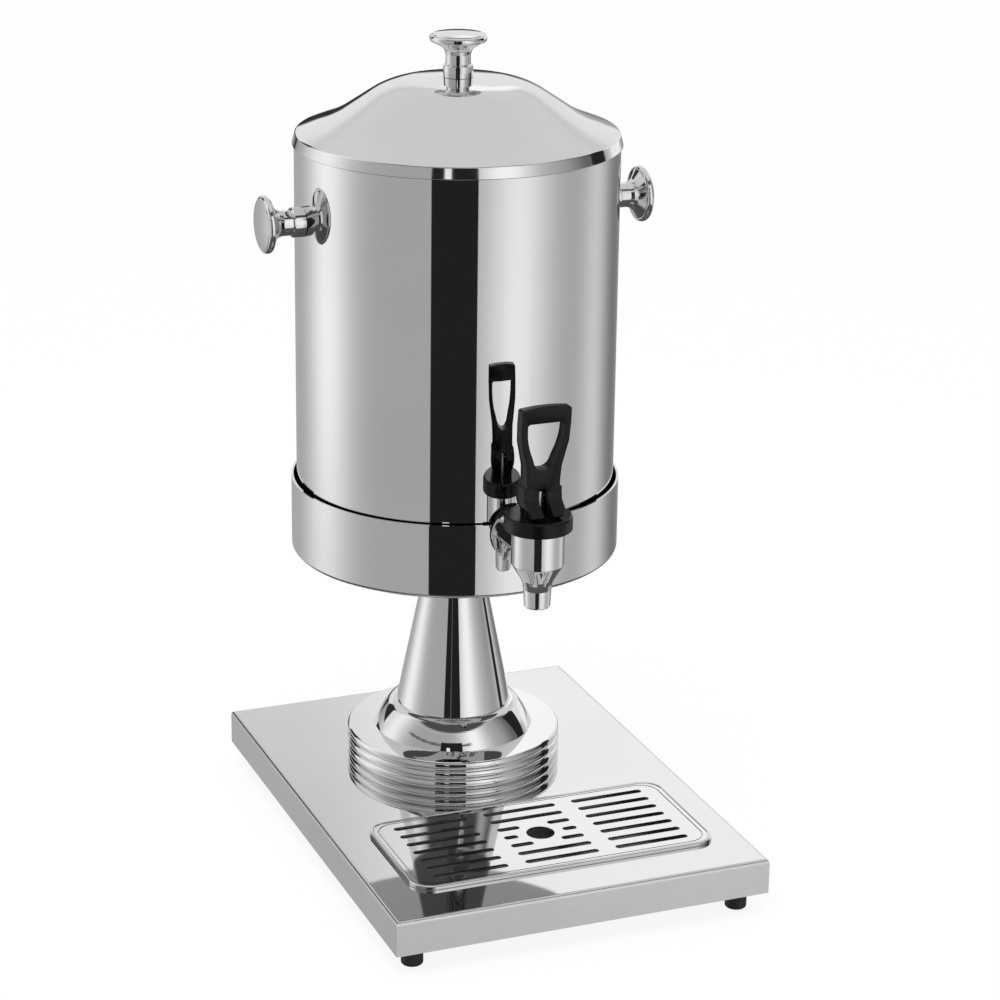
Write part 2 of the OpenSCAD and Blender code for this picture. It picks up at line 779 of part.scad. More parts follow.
module inner_gasket() {
    color(black) difference() {
        intersection() {
            along_shank(urn_y - urn_r) cylinder(inner_gasket_y - urn_y + urn_r, r = gasket_r, $fn = fine);
            at_urn() translate([0, 0, shank_z - 2 * gasket_r])
                cylinder(4 * gasket_r, r = urn_bore_r, $fn = smooth);
        }
        along_shank(urn_y - urn_r - cut)
            cylinder(inner_gasket_y - urn_y + urn_r + 2 * cut, d = shank_d + 2 * fixed_gap, $fn = fine);
    }
}

module shank_washer() {
    color(steel) difference() {
        along_shank(inner_gasket_y) cylinder(shank_washer_t, r = gasket_r, $fn = fine);
        along_shank(inner_gasket_y - cut)
            cylinder(shank_washer_t + 2 * cut, d = shank_d + 2 * fixed_gap, $fn = fine);
    }
}

module shank_nut() {
    nut_y = inner_gasket_y + shank_washer_t;
    color(steel) difference() {
        along_shank(nut_y) rotate([0, 0, 30]) cylinder(shank_nut_t, r = shank_nut_r, $fn = 6);
        along_shank(nut_y - cut)
            cylinder(shank_nut_t + 2 * cut, d = shank_d + 2 * fixed_gap, $fn = fine);
    }
}

module tap_bonnet() {
    edge = 2;
    color(black) at_tap() translate([0, 0, barrel_top]) difference() {
        rotate_extrude($fn = smooth) {
            translate([0, 0.5]) square([bonnet_r, bonnet_h - edge - 0.5]);
            square([bonnet_r - 0.5, bonnet_h - edge]);
            square([bonnet_r - edge, bonnet_h]);
            translate([bonnet_r - edge, bonnet_h - edge]) circle(edge, $fn = fine);
        }
        translate([0, 0, -cut])
            cylinder(bonnet_h - cap_t + cut, r = thread_r + fixed_gap, $fn = fine);
        cylinder(bonnet_h + cut, r = stem_hole_r, $fn = fine);
    }
}

module bonnet_seal() {
    color("dimgray") at_tap() translate([0, 0, neck_top]) difference() {
        cylinder(seal_t, r = thread_r, $fn = fine);
        translate([0, 0, -cut]) cylinder(seal_t + 2 * cut, r = chamber_r, $fn = fine);
    }
}

// One unbroken wire, swept along its helix with six sides
module coil(radius, low, high, turns, wire) {
    sides = 6;
    steps = 16;
    rings = turns * steps;
    rise = high - low - wire;
    points = [for (i = [0:rings], j = [0:sides - 1])
        let (a = 360 * i / steps, b = 360 * j / sides, r = radius + wire / 2 * cos(b))
        [r * cos(a), r * sin(a), low + wire / 2 + rise * i / rings + wire / 2 * sin(b)]];
    walls = [for (i = [0:rings - 1], j = [0:sides - 1])
        let (a = i * sides + j, b = i * sides + (j + 1) % sides)
        each [[a, a + sides, b], [b, a + sides, b + sides]]];
    start = [for (j = [1:sides - 2]) [0, j, j + 1]];
    end = [for (j = [1:sides - 2]) let (e = rings * sides) [e, e + j + 1, e + j]];
    polyhedron(points, concat(walls, start, end));
}

module valve_spring() {
    color(steel) at_tap() coil(spring_r, spring_low, spring_high, spring_turns, spring_wire);
}

module valve_stem() {
    foot_z = seat_z + lift_gap + 3;
    top_z = pin_z + pin_d + 1.5;
    color(steel) at_tap() difference() {
        union() {
            translate([0, 0, foot_z]) cylinder(top_z - foot_z - 1, d = stem_d, $fn = fine);
            translate([0, 0, top_z - 1]) cylinder(1, d1 = stem_d, d2 = stem_d - 2, $fn = fine);
            translate([0, 0, foot_z]) cylinder(2, d = stem_d + 4, $fn = fine);
            translate([0, 0, spring_low - valve_plate]) cylinder(valve_plate, r = 8.5, $fn = fine);
        }
        translate([-stem_d, 0, pin_z]) rotate([0, 90, 0])
            cylinder(2 * stem_d, d = pin_d + 2 * fixed_gap, $fn = fine);
    }
}

module seat_cup() {
    foot_z = seat_z + lift_gap + 3;
    r = outlet_r + 3;
    color("whitesmoke") at_tap() difference() {
        translate([0, 0, seat_z + lift_gap]) {
            cylinder(cup_h_valve - 3, r = r, $fn = fine);
            cylinder(cup_h_valve, r = r - 2, $fn = fine);
        }
        translate([0, 0, foot_z - fixed_gap]) cylinder(2 + 2 * fixed_gap, d = stem_d + 4.1, $fn = fine);
        translate([0, 0, foot_z]) cylinder(cup_h_valve, d = stem_d + 2 * fixed_gap, $fn = fine);
    }
}

module lever_pin() {
    color(polished) at_tap() translate([-lever_hub_w / 2 + 1, 0, pin_z]) rotate([0, 90, 0])
        cylinder(lever_hub_w - 2, d = pin_d, $fn = fine);
}

// Foot of the lever, drawn so that it stays on the bonnet while the stem lifts at a steady rate
function rocker(angle, height) =
    let (p = height + lift_per_radian * angle * PI / 180)
    [-p * sin(angle) - lift_per_radian * cos(angle), -p * cos(angle) + lift_per_radian * sin(angle)];

// Points on a circle from one angle to another, in equal steps
function arc(c, r, from, to, steps) =
    [for (i = [0:steps]) let (a = from + (to - from) * i / steps) c + r * [cos(a), sin(a)]];

// Side view of the lever, front to the left, the pin at the origin
module lever_side() {
    heel = pin_up - lift_gap;
    half = lever_top_t / 2;
    edge = 1;
    polygon(concat(
        [[half - lever_lean, lever_h - edge], [half - lever_lean - edge, lever_h],
         [-half - lever_lean + edge, lever_h], [-half - lever_lean, lever_h - edge]],
        arc([0, 0], lever_hub_r, 155, 190, 7),
        [for (i = [9:-1:0]) rocker(pull_angle * 1.06 * i / 9, heel)],
        [[5, -heel]],
        arc([0, 0], lever_hub_r, -40, 50, 12)));
}

// Right half of the lever's front view from its foot upwards, the pin at the origin
function lever_half() =
    let (top = lever_top_w / 2, waist = lever_waist_w / 2, hub = lever_hub_w / 2, foot = hub - 2.2,
         waist_z = lever_hub_r + 5, corner = 3)
    concat([[foot, -pin_up - 1], [foot, -lever_hub_r - 1], [hub, -lever_hub_r + 2],
            [hub, lever_hub_r - 0.8], [waist, lever_hub_r + 1], [waist, waist_z],
            [waist + 0.6, waist_z + 9], [top - 0.7, lever_h - 24], [top, lever_h - 12]],
           arc([top - corner, lever_h - corner], corner, 0, 90, 8));

module lever_front() {
    right = lever_half();
    left = [for (i = [len(right) - 1:-1:0]) [-right[i][0], right[i][1]]];
    polygon(concat(right, left));
}

// Finger hole: flat above, narrowing in a long curve to a round end
module finger_hole() {
    low_r = 5;
    top_z = lever_h - finger_bar;
    low_z = top_z - finger_h + low_r;
    side_r = 44;
    translate([0, low_z]) circle(low_r, $fn = fine);
    intersection() {
        translate([-finger_w / 2, low_z]) square([finger_w, top_z - low_z]);
        translate([side_r - finger_w / 2, top_z - 4]) circle(side_r, $fn = smooth);
        translate([finger_w / 2 - side_r, top_z - 4]) circle(side_r, $fn = smooth);
    }
}

module tap_lever() {
    fork_top = 6;
    reach = lever_h / 2;
    color(black) at_tap() translate([0, 0, pin_z]) difference() {
        intersection() {
            rotate([90, 0, 90]) translate([0, 0, -lever_top_w / 2 - cut])
                linear_extrude(lever_top_w + 2 * cut) lever_side();
            translate([0, reach, 0]) rotate([90, 0, 0]) linear_extrude(2 * reach) lever_front();
        }
        translate([0, reach, 0]) rotate([90, 0, 0]) linear_extrude(2 * reach) {
            finger_hole();
            translate([0, fork_top - fork_w / 2 + 2]) circle(d = fork_w, $fn = fine);
            translate([-fork_w / 2, -pin_up - cut])
                square([fork_w, pin_up + cut + fork_top - fork_w / 2 + 2]);
        }
        translate([-lever_hub_w, 0, 0]) rotate([0, 90, 0])
            cylinder(2 * lever_hub_w, d = pin_d + 2 * running_gap, $fn = fine);
    }
}

// The lid in section, filled, its outside moved inwards by the inset
module lid_section(inset) {
    slant = function (p, slope) p - inset * [sin(slope), cos(slope)];
    low_a = slant(shoulder_p, lid_low_slope);
    low_b = slant(waist_p, lid_low_slope);
    high_a = slant(hollow_p, lid_high_slope);
    high_b = slant(knuckle_p, lid_high_slope);
    crown_a = slant(crown_p, crown_slope);
    square([lid_r - inset, lid_band]);
    intersection() {
        translate(shoulder_c) circle(lid_shoulder - inset, $fn = smooth);
        translate([low_a[0], 0]) square([lid_r, low_a[1]]);
    }
    polygon([[low_b[0], 0], [low_a[0], 0], low_a, low_b]);
    difference() {
        polygon([[high_a[0], 0], [low_b[0], 0], low_b, high_a]);
        translate(hollow_c) circle(lid_hollow + inset, $fn = 720);
    }
    polygon([[high_b[0], 0], [high_a[0], 0], high_a, high_b]);
    intersection() {
        translate(knuckle_c) circle(lid_knuckle - inset, $fn = 360);
        translate([crown_a[0], 0]) square([high_b[0] - crown_a[0], lid_h]);
    }
    intersection() {
        translate(crown_c) circle(lid_crown - inset, $fn = 1440);
        square([crown_a[0], lid_h]);
    }
}

module lid_shell() {
    color(polished) at_urn() translate([0, 0, lid_z]) difference() {
        rotate_extrude($fn = smooth) difference() {
            lid_section(0);
            translate([0, -0.001]) lid_section(lid_sheet);
        }
        cylinder(lid_h + cut, d = knob_screw_d + 0.4, $fn = fine);
    }
}

module lid_knob() {
    color(polished) at_urn() translate([0, 0, lid_z + lid_h]) knob();
}

// The washer touches the lid where its edge is widest
lid_washer_z = lid_z + crown_c[1] + sqrt(pow(lid_crown - lid_sheet, 2) - pow(knob_washer_r, 2));

module lid_screw() {
    length = lid_z + lid_h + knob_hole - 1 - lid_washer_z + knob_washer_t;
    color(steel) at_urn() translate([0, 0, lid_washer_z - knob_washer_t]) knob_screw(length);
}

module lid_washer() {
    color(steel) at_urn() translate([0, 0, lid_washer_z - knob_washer_t]) knob_washer();
}

base_plate();
base_stiffener();
rubber_feet();
feet_screws();
feet_nuts();
plinth_ring();
pedestal_foot();
pedestal_cone();
collar_cup();
cup_stiffener();
tie_bolt();
tie_washer();
tie_nut();
cooling_pack();
drip_pan();
drip_grille();
urn_body();
urn_floor();
handle_left();
handle_right();
handle_screws();
handle_washers();
tap_body();
tap_flange();
tap_gasket();
inner_gasket();
shank_washer();
shank_nut();
tap_bonnet();
bonnet_seal();
valve_spring();
valve_stem();
seat_cup();
lever_pin();
tap_lever();
lid_shell();
lid_knob();
lid_screw();
lid_washer();
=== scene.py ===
"""Looks of the milk dispenser: materials, studio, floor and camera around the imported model."""

import json
import math

import bmesh
import bpy
from mathutils import Matrix, Vector


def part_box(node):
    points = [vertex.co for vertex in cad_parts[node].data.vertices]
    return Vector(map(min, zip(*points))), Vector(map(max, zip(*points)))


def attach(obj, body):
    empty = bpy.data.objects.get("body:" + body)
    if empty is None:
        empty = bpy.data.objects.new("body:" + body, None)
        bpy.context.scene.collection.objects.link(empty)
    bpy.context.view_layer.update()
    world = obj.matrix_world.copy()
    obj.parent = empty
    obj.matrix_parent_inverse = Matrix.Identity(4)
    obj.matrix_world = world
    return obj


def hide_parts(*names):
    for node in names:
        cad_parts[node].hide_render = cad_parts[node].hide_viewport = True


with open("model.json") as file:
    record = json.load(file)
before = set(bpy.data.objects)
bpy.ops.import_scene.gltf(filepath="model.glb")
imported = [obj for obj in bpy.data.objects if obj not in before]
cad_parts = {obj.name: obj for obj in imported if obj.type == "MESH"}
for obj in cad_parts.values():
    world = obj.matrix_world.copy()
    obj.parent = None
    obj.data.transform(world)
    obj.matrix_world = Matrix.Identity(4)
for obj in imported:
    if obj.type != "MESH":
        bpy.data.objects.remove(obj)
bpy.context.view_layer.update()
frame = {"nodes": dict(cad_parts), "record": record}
NODES = frame["nodes"]
MM = 0.001

# The camera's place, direction and lens, fitted to the outlines in the photograph
CAMERA_AT = Vector((-0.69935, -1.74417, 0.90284))
CAMERA_TURN = math.radians(-21.17)
CAMERA_RISE = math.radians(18.58)
CAMERA_ROLL = math.radians(0.48)
CAMERA_LENS = 106.84
CAMERA_SHIFT_X = 0.0436
CAMERA_SHIFT_Y = -0.038
CAMERA_REACH = 100

# The floor, which is mostly a white backdrop for the camera, and the lamp above it
FLOOR_SIZE = 60.0
FLOOR_COLOUR = (0.9, 0.9, 0.9, 1)
BACKDROP_GLOW = 1.06
BACKDROP_SHARE = 0.85
LAMP_SIZE = 1.6
LAMP_POWER = 16
LAMP_AT = (-0.5, -0.5, 2.2)
LAMP_AIM = Vector((0, 0, 0.2))

# Light of the studio's walls, ceiling and ground where nothing else is laid over them
WALL_LIGHT = 0.43
CEILING_LIGHT = 0.72
GROUND_LIGHT = 0.1

# How far a steel's colour strays from its level, and the scales of fine grain and slow mottle
STEEL_STRAY = 0.015
STEEL_GRAIN = 120
STEEL_MOTTLE = 9
SHEET_GRAIN = 160
SHEET_MOTTLE = 7
PLASTIC_GRAIN = 900
PLASTIC_MOTTLE = 40
PLASTIC_DEPTH = 0.00002
BLUE_MOTTLE = 30
NOISE_DETAIL = 2.0

# The lower part of the tray, inside the pan under the grille: its colour, darkened there as painted shade,
# its duller roughness, and how soon both begin, in metres
PAINTED_SHADE_LEVEL = 0.36
DULL_ROUGHNESS = 0.4
SHADE_AND_DULL_FADE = 0.0002

# Edges under this angle look smooth; extra points stand this far from the corners of turned outlines
SMOOTH_UNDER = math.radians(32)
EDGE_LOOP = 0.2


class Graph:
    """A node tree with short calls for the nodes used here."""

    def __init__(self, tree):
        self.tree = tree
        tree.nodes.clear()

    def node(self, kind, **inputs):
        made = self.tree.nodes.new(kind)
        for name, value in inputs.items():
            self.put(made, name.replace("_", " "), value)
        return made

    def put(self, node, socket, value):
        target = node.inputs[socket]
        if isinstance(value, bpy.types.NodeSocket):
            self.tree.links.new(value, target)
        else:
            target.default_value = value

    def math(self, operation, first, second=0.0, third=0.0):
        made = self.tree.nodes.new("ShaderNodeMath")
        made.operation = operation
        for i, value in enumerate((first, second, third)):
            self.put(made, i, value)
        return made.outputs[0]

    def vector(self, operation, first, second=(0, 0, 0)):
        made = self.tree.nodes.new("ShaderNodeVectorMath")
        made.operation = operation
        self.put(made, 0, first)
        self.put(made, 1, second)
        return made.outputs["Value" if operation == "DOT_PRODUCT" else "Vector"]

    def step(self, value, low, high, to_low=0.0, to_high=1.0):
        """A smooth change from to_low at low to to_high at high."""
        made = self.tree.nodes.new("ShaderNodeMapRange")
        made.interpolation_type = "SMOOTHSTEP"
        for i, number in enumerate((value, low, high, to_low, to_high)):
            self.put(made, i, number)
        return made.outputs[0]

    def blend(self, share, first, second):
        """First where the share is 0 and second where it is 1."""
        made = self.tree.nodes.new("ShaderNodeMix")
        self.put(made, 0, share)
        self.put(made, 2, first)
        self.put(made, 3, second)
        return made.outputs[0]

    def height_of(self, vector):
        return self.node("ShaderNodeSeparateXYZ", Vector=vector).outputs["Z"]

    def neutral(self, shade):
        """Colour with the same level of red, green and blue."""
        return self.node("ShaderNodeCombineColor", Red=shade, Green=shade, Blue=shade).outputs[0]


def side(degrees):
    """Level direction at an angle to the right of the camera's side of the object."""
    angle = math.radians(degrees) + CAMERA_TURN
    return (math.sin(angle), -math.cos(angle), 0)


def studio():
    """White backdrop for the camera; soft panels, a dark gap and a pale ceiling for the reflections.

    Directions, widths and elevations are in degrees, directions to the right of the camera's side.
    """
    world = bpy.data.worlds.new("studio")
    bpy.context.scene.world = world
    world.use_nodes = True
    g = Graph(world.node_tree)
    direction = g.node("ShaderNodeTexCoord").outputs["Generated"]
    rise = g.height_of(direction)
    level = g.vector("NORMALIZE", g.vector("MULTIPLY", direction, (1, 1, 0)))

    def facing(at):
        return g.vector("DOT_PRODUCT", level, side(at))

    def lobe(at, width, light):
        """Soft panel round a direction."""
        spread = 1 / math.radians(width) ** 2
        shape = g.math("EXPONENT", g.math("MULTIPLY_ADD", facing(at), spread, -spread))
        return g.math("MULTIPLY", shape, light)

    def panels(*lobes):
        """Sum of soft panels, each given by its direction, width and light."""
        total = lobe(*lobes[0])
        for values in lobes[1:]:
            total = g.math("ADD", total, lobe(*values))
        return total

    def above(low, high):
        """0 below one elevation and 1 above another."""
        return g.step(rise, math.sin(math.radians(low)), math.sin(math.radians(high)))

    def between(low, high, soft):
        """1 between two elevations."""
        over_low = above(low - soft, low + soft)
        return g.math("MULTIPLY", over_low, g.math("SUBTRACT", 1, above(high - soft, high + soft)))

    def stripe(at, half, soft, spread=0.0):
        """1 within a half width of a level direction, wider with the rise by spread."""
        off = g.math("ARCCOSINE", g.math("MINIMUM", facing(at), 0.999999))
        off = g.math("MULTIPLY_ADD", rise, -spread, off)
        return g.step(off, math.radians(half - soft), math.radians(half + soft), 1, 0)

    def both(first, second):
        return g.math("MULTIPLY", first, second)

    # Panels as the urn's wall shows them, and as the cone shows them higher up
    low_walls = panels((44, 17, 0.53), (116, 11, 0.27), (150, 16, -0.22))
    high_walls = panels((34, 15, 0.68), (104, 13, -0.30), (143, 14, 0.45), (-165, 18, -0.16))
    left_panel = both(lobe(at=-104, width=17, light=0.62), g.step(rise, -0.36, -0.29, 0.74, 1.0))
    walls = g.math("ADD", left_panel, g.blend(above(-14, 2), low_walls, high_walls))
    walls = g.math("ADD", walls, WALL_LIGHT)

    # A thin dark strip high in front, a bright card at the back right, a dark one at the back left
    front_strip = both(stripe(at=-22, half=50, soft=5), between(low=25, high=28.3, soft=0.5))
    walls = g.blend(front_strip, walls, 0.16)
    bright_card = both(stripe(at=150, half=18, soft=3), between(low=-6, high=13, soft=1.5))
    walls = g.blend(bright_card, walls, 1.0)
    dark_card = both(stripe(at=-167, half=18, soft=3), between(low=-7, high=4, soft=1.5))
    walls = g.blend(dark_card, walls, 0.03)

    # The panel behind the object, which the base's top mirrors, with its brighter part
    back_panel = g.step(rise, 0.34, 0.47, 0.88, 0.7)
    bright_part = both(stripe(at=175, half=6, soft=2.5), above(19.5, 21))
    back_panel = g.blend(bright_part, back_panel, 1.12)
    back_panel = g.blend(above(28, 33), back_panel, 0.74)
    behind = both(g.step(facing(180), 0.2, 0.6), above(4, 6))
    walls = g.blend(behind, walls, back_panel)

    # Dark uprights at the right and at the back left, which widen with the rise
    right_upright = stripe(at=114, half=7.5, soft=0.7, spread=0.2)
    walls = g.blend(both(right_upright, between(low=-11.8, high=30, soft=0.5)), walls, 0.02)
    left_upright = stripe(at=-134, half=8, soft=0.7, spread=0.12)
    walls = g.blend(both(left_upright, between(low=3.5, high=27, soft=1)), walls, 0.03)

    # The dark gap in front, with a faint line in it and a bright piece higher up
    gap = both(stripe(at=-1.4, half=16.2, soft=0.25), g.step(rise, 0.5, 0.52, 1, 0))
    walls = g.blend(gap, walls, 0.017)
    faint_line = both(stripe(at=-4, half=1.1, soft=0.6), between(low=-4, high=14, soft=1))
    walls = g.blend(faint_line, walls, 0.1)
    bright_piece = both(stripe(at=-6.2, half=2.4, soft=0.3), between(low=16, high=24, soft=0.5))
    walls = g.blend(bright_piece, walls, 1.0)

    # Ceiling with a dark band in front, and the dark ground
    light = g.blend(above(38, 58), walls, CEILING_LIGHT)
    front = g.step(facing(0), 0.1, 0.5)
    ceiling_band = both(front, between(low=44, high=60, soft=1.5))
    light = g.blend(ceiling_band, light, 0.08)
    light = g.blend(above(-36, -28), GROUND_LIGHT, light)

    seen = g.node("ShaderNodeLightPath").outputs["Is Camera Ray"]
    strength = g.blend(seen, light, 1.0)
    background = g.node("ShaderNodeBackground", Color=(1, 1, 1, 1), Strength=strength)
    out = g.node("ShaderNodeOutputWorld")
    g.put(out, "Surface", background.outputs[0])


def floor():
    """Floor that catches a soft shadow and isn't mirrored in the object."""
    bpy.ops.mesh.primitive_plane_add(size=FLOOR_SIZE, location=(0, 0, 0))
    plane = bpy.context.object
    plane.name = "floor"
    plane.visible_glossy = False
    made = bpy.data.materials.new("floor")
    made.use_nodes = True
    g = Graph(made.node_tree)
    matt = g.node("ShaderNodeBsdfDiffuse", Color=FLOOR_COLOUR)
    white = g.node("ShaderNodeEmission", Color=(1, 1, 1, 1), Strength=BACKDROP_GLOW)
    seen = g.node("ShaderNodeLightPath").outputs["Is Camera Ray"]
    mix = g.node("ShaderNodeMixShader")
    g.put(mix, 0, g.math("MULTIPLY", seen, BACKDROP_SHARE))
    g.put(mix, 1, matt.outputs[0])
    g.put(mix, 2, white.outputs[0])
    g.put(g.node("ShaderNodeOutputMaterial"), "Surface", mix.outputs[0])
    plane.data.materials.append(made)


def lamp():
    data = bpy.data.lights.new("softbox", "AREA")
    data.shape = "DISK"
    data.size = LAMP_SIZE
    data.energy = LAMP_POWER
    light = bpy.data.objects.new("softbox", data)
    light.location = LAMP_AT
    light.rotation_euler = (LAMP_AIM - light.location).to_track_quat("-Z", "Y").to_euler()
    light.visible_glossy = False
    bpy.context.scene.collection.objects.link(light)


def camera():
    data = bpy.data.cameras.new("camera")
    data.lens = CAMERA_LENS
    data.shift_x = CAMERA_SHIFT_X
    data.shift_y = CAMERA_SHIFT_Y
    data.clip_end = CAMERA_REACH
    view = bpy.data.objects.new("camera", data)
    turn, rise = CAMERA_TURN, CAMERA_RISE
    back = Vector((math.sin(turn) * math.cos(rise), -math.cos(turn) * math.cos(rise), math.sin(rise)))
    right = Vector((math.cos(turn), math.sin(turn), 0))
    up = back.cross(right)
    c, s = math.cos(CAMERA_ROLL), math.sin(CAMERA_ROLL)
    axes = Matrix((right * c + up * s, up * c - right * s, back)).transposed()
    view.matrix_world = Matrix.Translation(CAMERA_AT) @ axes.to_4x4()
    bpy.context.scene.collection.objects.link(view)
    bpy.context.scene.camera = view


def material(name):
    made = bpy.data.materials.new(name)
    made.use_nodes = True
    g = Graph(made.node_tree)
    shader = g.node("ShaderNodeBsdfPrincipled")
    g.put(g.node("ShaderNodeOutputMaterial"), "Surface", shader.outputs[0])
    place = g.node("ShaderNodeTexCoord").outputs["Object"]
    return made, g, shader, place


def noise(g, place, scale, stretch=(1, 1, 1)):
    spot = g.vector("MULTIPLY", place, stretch)
    return g.node("ShaderNodeTexNoise", Vector=spot, Scale=scale, Detail=NOISE_DETAIL).outputs["Fac"]


def mottled(g, value, low, high):
    """A shade that changes slowly between two levels."""
    return g.step(value, 0.3, 0.7, low, high)


def steel(name, level, rough, streaks=(1, 1, 1)):
    """Steel with fine variation in its colour and polish."""
    made, g, shader, place = material(name)
    fine = noise(g, place, STEEL_GRAIN, streaks)
    broad = noise(g, place, STEEL_MOTTLE)
    g.put(shader, "Base Color", g.neutral(mottled(g, broad, level - STEEL_STRAY, level + STEEL_STRAY)))
    shader.inputs["Metallic"].default_value = 1.0
    g.put(shader, "Roughness", g.step(fine, 0.25, 0.75, rough[0], rough[1]))
    return made


def two_finish(name, level, top, sides, shade_and_dull_under=None):
    """Sheet with a polished top and satin edges, by the direction of its faces, and below a height a colour
    darkened as painted shade and a duller roughness.
    """
    made, g, shader, place = material(name)
    facing = g.node("ShaderNodeTexCoord").outputs["Normal"]
    upward = g.step(g.height_of(facing), 0.6, 0.95)
    fine = noise(g, place, SHEET_GRAIN)
    broad = noise(g, place, SHEET_MOTTLE)
    shade = mottled(g, broad, level - STEEL_STRAY, level + STEEL_STRAY)
    shader.inputs["Metallic"].default_value = 1.0
    rough = g.blend(upward, sides, top)
    if shade_and_dull_under:
        # Below the height the colour is darkened as painted shade inside the pan, and the roughness is
        # raised to a duller finish
        shade_and_dull_mask = g.step(g.height_of(place), shade_and_dull_under - SHADE_AND_DULL_FADE, shade_and_dull_under, 1, 0)
        shade = g.blend(shade_and_dull_mask, shade, PAINTED_SHADE_LEVEL)
        rough = g.blend(shade_and_dull_mask, rough, DULL_ROUGHNESS)
    g.put(shader, "Base Color", g.neutral(shade))
    g.put(shader, "Roughness", g.math("MULTIPLY", rough, g.step(fine, 0.25, 0.75, 0.97, 1.03)))
    return made


def plastic(name, level, rough, shine=0.5):
    """Plastic or rubber with a very fine grain on its surface."""
    made, g, shader, place = material(name)
    shader.inputs["Specular IOR Level"].default_value = shine
    fine = noise(g, place, PLASTIC_GRAIN)
    broad = noise(g, place, PLASTIC_MOTTLE)
    g.put(shader, "Base Color", g.neutral(mottled(g, broad, level * 0.9, level * 1.1)))
    g.put(shader, "Roughness", mottled(g, broad, rough[0], rough[1]))
    grain = g.node("ShaderNodeBump", Height=fine, Distance=PLASTIC_DEPTH, Strength=0.4)
    g.put(shader, "Normal", grain.outputs[0])
    return made


def pale_blue(name):
    made, g, shader, place = material(name)
    broad = noise(g, place, BLUE_MOTTLE)
    mix = g.node("ShaderNodeMix")
    mix.data_type = "RGBA"
    g.put(mix, 0, broad)
    g.put(mix, 6, (0.42, 0.62, 0.78, 1))
    g.put(mix, 7, (0.48, 0.68, 0.82, 1))
    g.put(shader, "Base Color", mix.outputs[2])
    shader.inputs["Roughness"].default_value = 0.45
    return made


FINISH = {
    "polished_steel": steel("polished_steel", level=0.8, rough=(0.02, 0.035)),
    "lid_steel": steel("lid_steel", level=0.8, rough=(0.05, 0.08)),
    "turned_steel": steel("turned_steel", level=0.78, rough=(0.05, 0.08)),
    "tap_chrome": steel("tap_chrome", level=0.82, rough=(0.04, 0.06)),
    "base_steel": two_finish("base_steel", level=0.72, top=0.035, sides=0.3),
    "tray_steel": two_finish("tray_steel", level=0.74, top=0.04, sides=0.12, shade_and_dull_under=0.0385),
    "satin_steel": steel("satin_steel", level=0.66, rough=(0.28, 0.36), streaks=(1, 1, 0.1)),
    "black_plastic": plastic("black_plastic", level=0.005, rough=(0.22, 0.3), shine=0.25),
    "black_rubber": plastic("black_rubber", level=0.025, rough=(0.55, 0.65)),
    "silicone": plastic("silicone", level=0.84, rough=(0.4, 0.5)),
    "blue_plastic": pale_blue("blue_plastic"),
}
OWN_FINISH = {"lid_shell": "lid_steel"}


def smooth(thing):
    bpy.ops.object.select_all(action="DESELECT")
    thing.select_set(True)
    bpy.context.view_layer.objects.active = thing
    bpy.ops.object.shade_smooth_by_angle(angle=SMOOTH_UNDER)


def dress():
    """Gives each node its finish and smooth curved faces."""
    for part in frame["record"]["subparts"]:
        name = part["node"]
        thing = NODES[name]
        thing.data.materials.clear()
        thing.data.materials.append(FINISH[OWN_FINISH.get(name, part["material_slot"])])
        smooth(thing)


def put_in(name, mesh, finish, slot, body, *nodes):
    """Adds a piece that rides on a body, and that may stand for nodes of the model."""
    piece = bpy.data.objects.new(name, mesh)
    bpy.context.scene.collection.objects.link(piece)
    mesh.materials.append(FINISH[finish])
    smooth(piece)
    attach(piece, body)
    if nodes:
        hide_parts(*nodes)
    return piece


def arc(centre, radius, start, end, steps):
    """Points along an arc, with the angles in degrees from the level outward direction."""
    turns = [math.radians(start + (end - start) * i / steps) for i in range(steps + 1)]
    return [(centre[0] + radius * math.cos(a), centre[1] + radius * math.sin(a)) for a in turns]


def polar(centre, radius, slope):
    """Point on a circle where its outline falls outwards at a slope."""
    angle = math.radians(slope)
    return (centre[0] + radius * math.sin(angle), centre[1] + radius * math.cos(angle))


def meeting_point(first, second, from_first, from_second):
    """The point at two distances from two others, to the left of the way between them."""
    way = Vector(second) - Vector(first)
    apart = way.length
    way.normalize()
    along = (from_first ** 2 - from_second ** 2 + apart ** 2) / (2 * apart)
    off = math.sqrt(from_first ** 2 - along ** 2)
    return Vector(first) + along * way + off * Vector((-way[1], way[0]))


def upright(x, y, z):
    """Place of a standing piece, in millimetres."""
    return Matrix.Translation((x * MM, y * MM, z * MM))


def middle(low, high, axis):
    """Middle of a box along an axis, in millimetres."""
    return (low[axis] + high[axis]) / 2 / MM


def with_edge_loops(outline):
    """The outline with extra points beside its corners, which keep long faces flat in the shading."""
    loops = []
    for start, end in zip(outline, outline[1:] + outline[:1]):
        first, last = Vector(start), Vector(end)
        length = (last - first).length
        loops.append(first)
        if length > 4 * EDGE_LOOP:
            way = (last - first) / length
            loops += [first + EDGE_LOOP * way, last - EDGE_LOOP * way]
    return loops


